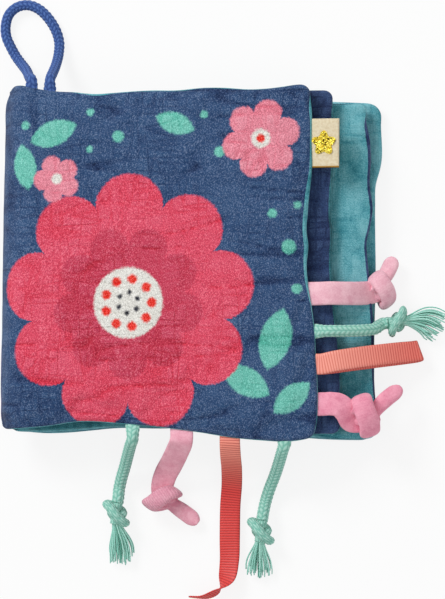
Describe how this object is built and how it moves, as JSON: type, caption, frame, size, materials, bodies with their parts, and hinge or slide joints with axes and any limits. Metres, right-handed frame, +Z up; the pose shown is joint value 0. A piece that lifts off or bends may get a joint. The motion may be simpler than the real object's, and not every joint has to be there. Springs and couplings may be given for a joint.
{
  "type": "baby tag book",
  "caption": "Soft cloth book of padded leaves sewn at one spine, with ribbon and cord tags, a folded label and a hanging loop.",
  "frame": {"origin": "on the flat underside of the back cover, straight below the middle of the front cover", "axes": "+Z up from the table through the closed leaves, +Y along the spine towards the hanging loop, +X from the spine to the leaves' free edges"},
  "size_m": [0.2225, 0.2903, 0.0299],
  "materials": {
    "printed_chambray": "crinkled cotton double gauze, chambray weave, printed",
    "teal_gauze": "crinkled cotton double gauze, dyed",
    "navy_gauze": "crinkled cotton double gauze, dyed",
    "wadding": "polyester wadding",
    "seam_thread": "sewing thread",
    "blue_braid": "braided cotton cord, 5 mm",
    "woven_tape": "fine woven cotton tape",
    "gold_glitter": "glitter transfer",
    "pink_velvet": "velvet ribbon, cut pile",
    "mint_braid": "braided cotton cord, 6 mm, frayed at its end",
    "coral_grosgrain": "ribbed grosgrain ribbon, 10 mm"
  },
  "bodies": {
    "back_cover": {"back_cover_face": "printed_chambray", "back_cover_lining": "teal_gauze", "back_cover_wadding": "wadding", "spine_seam": "seam_thread"},
    "page_2": {"page_2_front": "teal_gauze", "page_2_back": "navy_gauze", "page_2_wadding": "wadding"},
    "page_1": {"page_1_front": "navy_gauze", "page_1_back": "teal_gauze", "page_1_wadding": "wadding"},
    "front_cover": {"front_cover_face": "printed_chambray", "front_cover_lining": "teal_gauze", "front_cover_wadding": "wadding"},
    "hanging_loop": {"hanging_loop": "blue_braid"},
    "label": {"label_tag": "woven_tape", "label_motif": "gold_glitter"},
    "pink_upper_tag": {"pink_upper_ribbon": "pink_velvet", "pink_upper_knot": "pink_velvet", "pink_upper_tail": "pink_velvet"},
    "pink_lower_tag": {"pink_lower_ribbon": "pink_velvet", "pink_lower_knot": "pink_velvet", "pink_lower_tail": "pink_velvet"},
    "pink_bottom_tag": {"pink_bottom_ribbon": "pink_velvet", "pink_bottom_knot": "pink_velvet", "pink_bottom_tail": "pink_velvet"},
    "mint_left_tag": {"mint_left_cord": "mint_braid", "mint_left_knot": "mint_braid", "mint_left_tassel": "mint_braid"},
    "mint_bottom_tag": {"mint_bottom_cord": "mint_braid", "mint_bottom_knot": "mint_braid", "mint_bottom_tassel": "mint_braid"},
    "mint_right_tag": {"mint_right_cord": "mint_braid", "mint_right_knot": "mint_braid", "mint_right_tassel": "mint_braid"},
    "coral_right_tag": {"coral_right_ribbon": "coral_grosgrain"},
    "coral_bottom_tag": {"coral_bottom_ribbon": "coral_grosgrain"}
  },
  "joints": [
    {"name": "page_2_turn", "type": "hinge", "parent": "back_cover", "child": "page_2", "pos_m": [-0.0775, 0, 0.0151], "axis": [0, -1, 0], "range_deg": [0, 180]},
    {"name": "page_1_turn", "type": "hinge", "parent": "page_2", "child": "page_1", "pos_m": [-0.0775, 0, 0.0151], "axis": [0, -1, 0], "range_deg": [0, 180]},
    {"name": "front_cover_turn", "type": "hinge", "parent": "page_1", "child": "front_cover", "pos_m": [-0.0775, 0, 0.0151], "axis": [0, -1, 0], "range_deg": [0, 180]},
    {"name": "pink_upper_flap", "type": "hinge", "parent": "front_cover", "child": "pink_upper_tag", "pos_m": [0.07498, -0.0161, 0.0267], "axis": [0, 1, 0], "range_deg": [-120, 0]},
    {"name": "mint_right_flap", "type": "hinge", "parent": "front_cover", "child": "mint_right_tag", "pos_m": [0.07586, -0.034, 0.0286], "axis": [0, 1, 0], "range_deg": [-120, 0]},
    {"name": "coral_right_flap", "type": "hinge", "parent": "front_cover", "child": "coral_right_tag", "pos_m": [0.07711, -0.0497, 0.02675], "axis": [0, 1, 0], "range_deg": [-120, 0]},
    {"name": "pink_lower_flap", "type": "hinge", "parent": "front_cover", "child": "pink_lower_tag", "pos_m": [0.07867, -0.0687, 0.0267], "axis": [0, 1, 0], "range_deg": [-120, 0]},
    {"name": "label_flap", "type": "hinge", "parent": "front_cover", "child": "label", "pos_m": [0.07396, 0.0557, 0.0264], "axis": [0, 1, 0], "range_deg": [-120, 0]},
    {"name": "mint_left_flap", "type": "hinge", "parent": "front_cover", "child": "mint_left_tag", "pos_m": [-0.0124, -0.08234, 0.0286], "axis": [1, 0, 0], "range_deg": [-120, 0]},
    {"name": "pink_bottom_flap", "type": "hinge", "parent": "front_cover", "child": "pink_bottom_tag", "pos_m": [0.0131, -0.08325, 0.0267], "axis": [1, 0, 0], "range_deg": [-120, 0]},
    {"name": "coral_bottom_flap", "type": "hinge", "parent": "front_cover", "child": "coral_bottom_tag", "pos_m": [0.0353, -0.08405, 0.02605], "axis": [1, 0, 0], "range_deg": [-120, 0]},
    {"name": "mint_bottom_flap", "type": "hinge", "parent": "front_cover", "child": "mint_bottom_tag", "pos_m": [0.0618, -0.085, 0.0286], "axis": [1, 0, 0], "range_deg": [-120, 0]},
    {"name": "hanging_loop_flap", "type": "hinge", "parent": "front_cover", "child": "hanging_loop", "pos_m": [-0.0598, 0.086, 0.0282], "axis": [-1, 0, 0], "range_deg": [-120, 0]}
  ]
}
